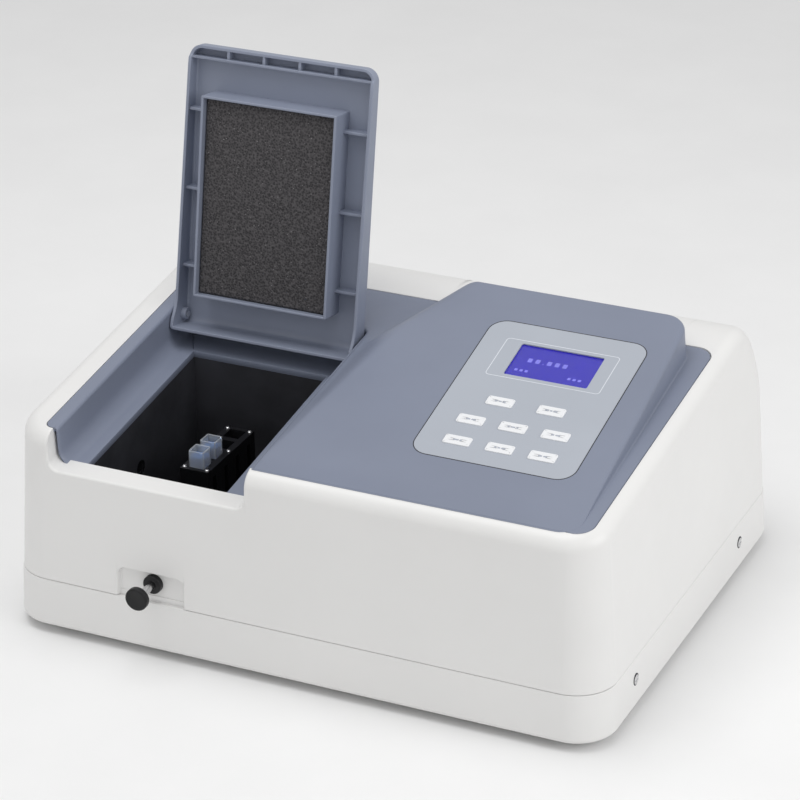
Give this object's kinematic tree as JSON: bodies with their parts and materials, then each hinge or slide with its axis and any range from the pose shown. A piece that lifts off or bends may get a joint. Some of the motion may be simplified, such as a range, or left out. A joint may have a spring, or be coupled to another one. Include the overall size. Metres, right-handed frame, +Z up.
{
  "type": "bench spectrophotometer",
  "caption": "Bench spectrophotometer with an open hinged sample lid, a pull-rod cell holder, a sloping console with keypad and display, and its optics inside.",
  "frame": {"origin": "bottom centre of the whole object's box with the lid open, on the surface it stands on", "axes": "+X to the operator's right, +Y towards the back, +Z up"},
  "size_m": [0.47, 0.388, 0.3812],
  "materials": {
    "white_shell": "fine satin moulded ABS",
    "grey_moulding": "fine-grained blue-grey moulding",
    "overlay_film": "printed polyester film",
    "clear_window": "clear acrylic",
    "lcd_glass": "back-lit blue display",
    "circuit_board": "green solder mask",
    "rubber": "matt",
    "sheet_steel": "zinc-plated",
    "cast_alloy": "cast and milled",
    "steel_screws": "nickel-plated",
    "steel_rod": "polished",
    "black_plastic": "moulded",
    "black_coated": "matt black powder coat",
    "black_anodised": "black anodised",
    "lens_glass": "polished",
    "foam": "open-cell light-seal foam",
    "cell_plastic": "clear square cell",
    "blue_liquid": "dyed water",
    "mirror_coating": "front-silvered",
    "ceramic": "unglazed",
    "lamp_glass": "quartz",
    "painted_panel": "fine texture",
    "white_keys": "silk"
  },
  "bodies": {
    "housing": {"base_tray": "white_shell", "beam_windows": "lens_glass", "carriage_rails": "steel_rod", "chassis_plate": "sheet_steel", "concave_mirrors": "mirror_coating", "condenser_mirror": "mirror_coating", "detector_house": "black_coated", "display_window": "clear_window", "fan_frame": "black_plastic", "fan_guard": "steel_rod", "foot_screws": "steel_screws", "fuse_drawer": "black_plastic", "grating_motor": "cast_alloy", "halogen_lamp": "lamp_glass", "hinge_pins": "steel_screws", "keypad_board": "circuit_board", "keypad_overlay": "overlay_film", "lamp_house": "sheet_steel", "lamp_socket": "ceramic", "lcd_panel": "lcd_glass", "lens_tube": "black_anodised", "main_board": "circuit_board", "monochromator_case": "black_coated", "optical_bench": "cast_alloy", "photodiode": "black_plastic", "power_inlet": "black_plastic", "power_supply": "sheet_steel", "rear_panel": "painted_panel", "rod_bushing": "black_plastic", "rubber_feet": "rubber", "sample_box": "black_coated", "serial_port": "sheet_steel", "side_screws": "steel_screws", "slit_plate": "sheet_steel", "top_deck": "grey_moulding", "upper_housing": "white_shell", "usb_port": "sheet_steel"},
    "lid_body": {"lid": "grey_moulding", "lid_foam": "foam"},
    "cell_carriage": {"cell_holder": "black_anodised", "holder_screws": "steel_screws", "pull_rod": "steel_rod", "pull_knob": "black_plastic"},
    "cell_1": {"cuvette_1": "cell_plastic", "sample_liquid_1": "blue_liquid"},
    "cell_2": {"cuvette_2": "cell_plastic", "sample_liquid_2": "blue_liquid"},
    "rocker": {"power_rocker": "black_plastic"},
    "fan": {"fan_rotor": "black_plastic"},
    "grating_stage": {"grating_table": "cast_alloy", "grating": "mirror_coating"},
    "filters": {"filter_wheel": "black_anodised"},
    "button_1": {"key_1": "white_keys"},
    "button_2": {"key_2": "white_keys"},
    "button_3": {"key_3": "white_keys"},
    "button_4": {"key_4": "white_keys"},
    "button_5": {"key_5": "white_keys"},
    "button_6": {"key_6": "white_keys"},
    "button_7": {"key_7": "white_keys"},
    "button_8": {"key_8": "white_keys"}
  },
  "joints": [
    {"name": "lid_hinge", "type": "hinge", "parent": "housing", "child": "lid_body", "pos_m": [-0.116, 0.031, 0.176], "axis": [-1, 0, 0], "range_deg": [-106.8, 0]},
    {"name": "cell_slide", "type": "slide", "parent": "housing", "child": "cell_carriage", "axis": [0, -1, 0], "range_m": [-0.018, 0.036]},
    {"name": "cell_1_lift", "type": "slide", "parent": "cell_carriage", "child": "cell_1", "axis": [0, 0, 1], "range_m": [0, 0.06]},
    {"name": "cell_2_lift", "type": "slide", "parent": "cell_carriage", "child": "cell_2", "axis": [0, 0, 1], "range_m": [0, 0.06]},
    {"name": "power_switch", "type": "hinge", "parent": "housing", "child": "rocker", "pos_m": [0.16, 0.184, 0.1055], "axis": [1, 0, 0], "range_deg": [-18, 0]},
    {"name": "fan_spin", "type": "hinge", "parent": "housing", "child": "fan", "pos_m": [0.09, 0.174, 0.086], "axis": [0, 1, 0], "continuous": true},
    {"name": "grating_turn", "type": "hinge", "parent": "housing", "child": "grating_stage", "pos_m": [0.05, 0.01, 0.056], "axis": [0, 0, 1], "range_deg": [-35, 35]},
    {"name": "filter_turn", "type": "hinge", "parent": "housing", "child": "filters", "pos_m": [0.118, 0.0765, 0.075], "axis": [0, 1, 0], "continuous": true},
    {"name": "press_1", "type": "slide", "parent": "housing", "child": "button_1", "axis": [0, 0.2229, -0.9748], "range_m": [0, 0.0008], "stiffness_N_per_m": 1200},
    {"name": "press_2", "type": "slide", "parent": "housing", "child": "button_2", "axis": [0, 0.2229, -0.9748], "range_m": [0, 0.0008], "stiffness_N_per_m": 1200},
    {"name": "press_3", "type": "slide", "parent": "housing", "child": "button_3", "axis": [0, 0.2229, -0.9748], "range_m": [0, 0.0008], "stiffness_N_per_m": 1200},
    {"name": "press_4", "type": "slide", "parent": "housing", "child": "button_4", "axis": [0, 0.2229, -0.9748], "range_m": [0, 0.0008], "stiffness_N_per_m": 1200},
    {"name": "press_5", "type": "slide", "parent": "housing", "child": "button_5", "axis": [0, 0.2229, -0.9748], "range_m": [0, 0.0008], "stiffness_N_per_m": 1200},
    {"name": "press_6", "type": "slide", "parent": "housing", "child": "button_6", "axis": [0, 0.2229, -0.9748], "range_m": [0, 0.0008], "stiffness_N_per_m": 1200},
    {"name": "press_7", "type": "slide", "parent": "housing", "child": "button_7", "axis": [0, 0.2229, -0.9748], "range_m": [0, 0.0008], "stiffness_N_per_m": 1200},
    {"name": "press_8", "type": "slide", "parent": "housing", "child": "button_8", "axis": [0, 0.2229, -0.9748], "range_m": [0, 0.0008], "stiffness_N_per_m": 1200}
  ]
}
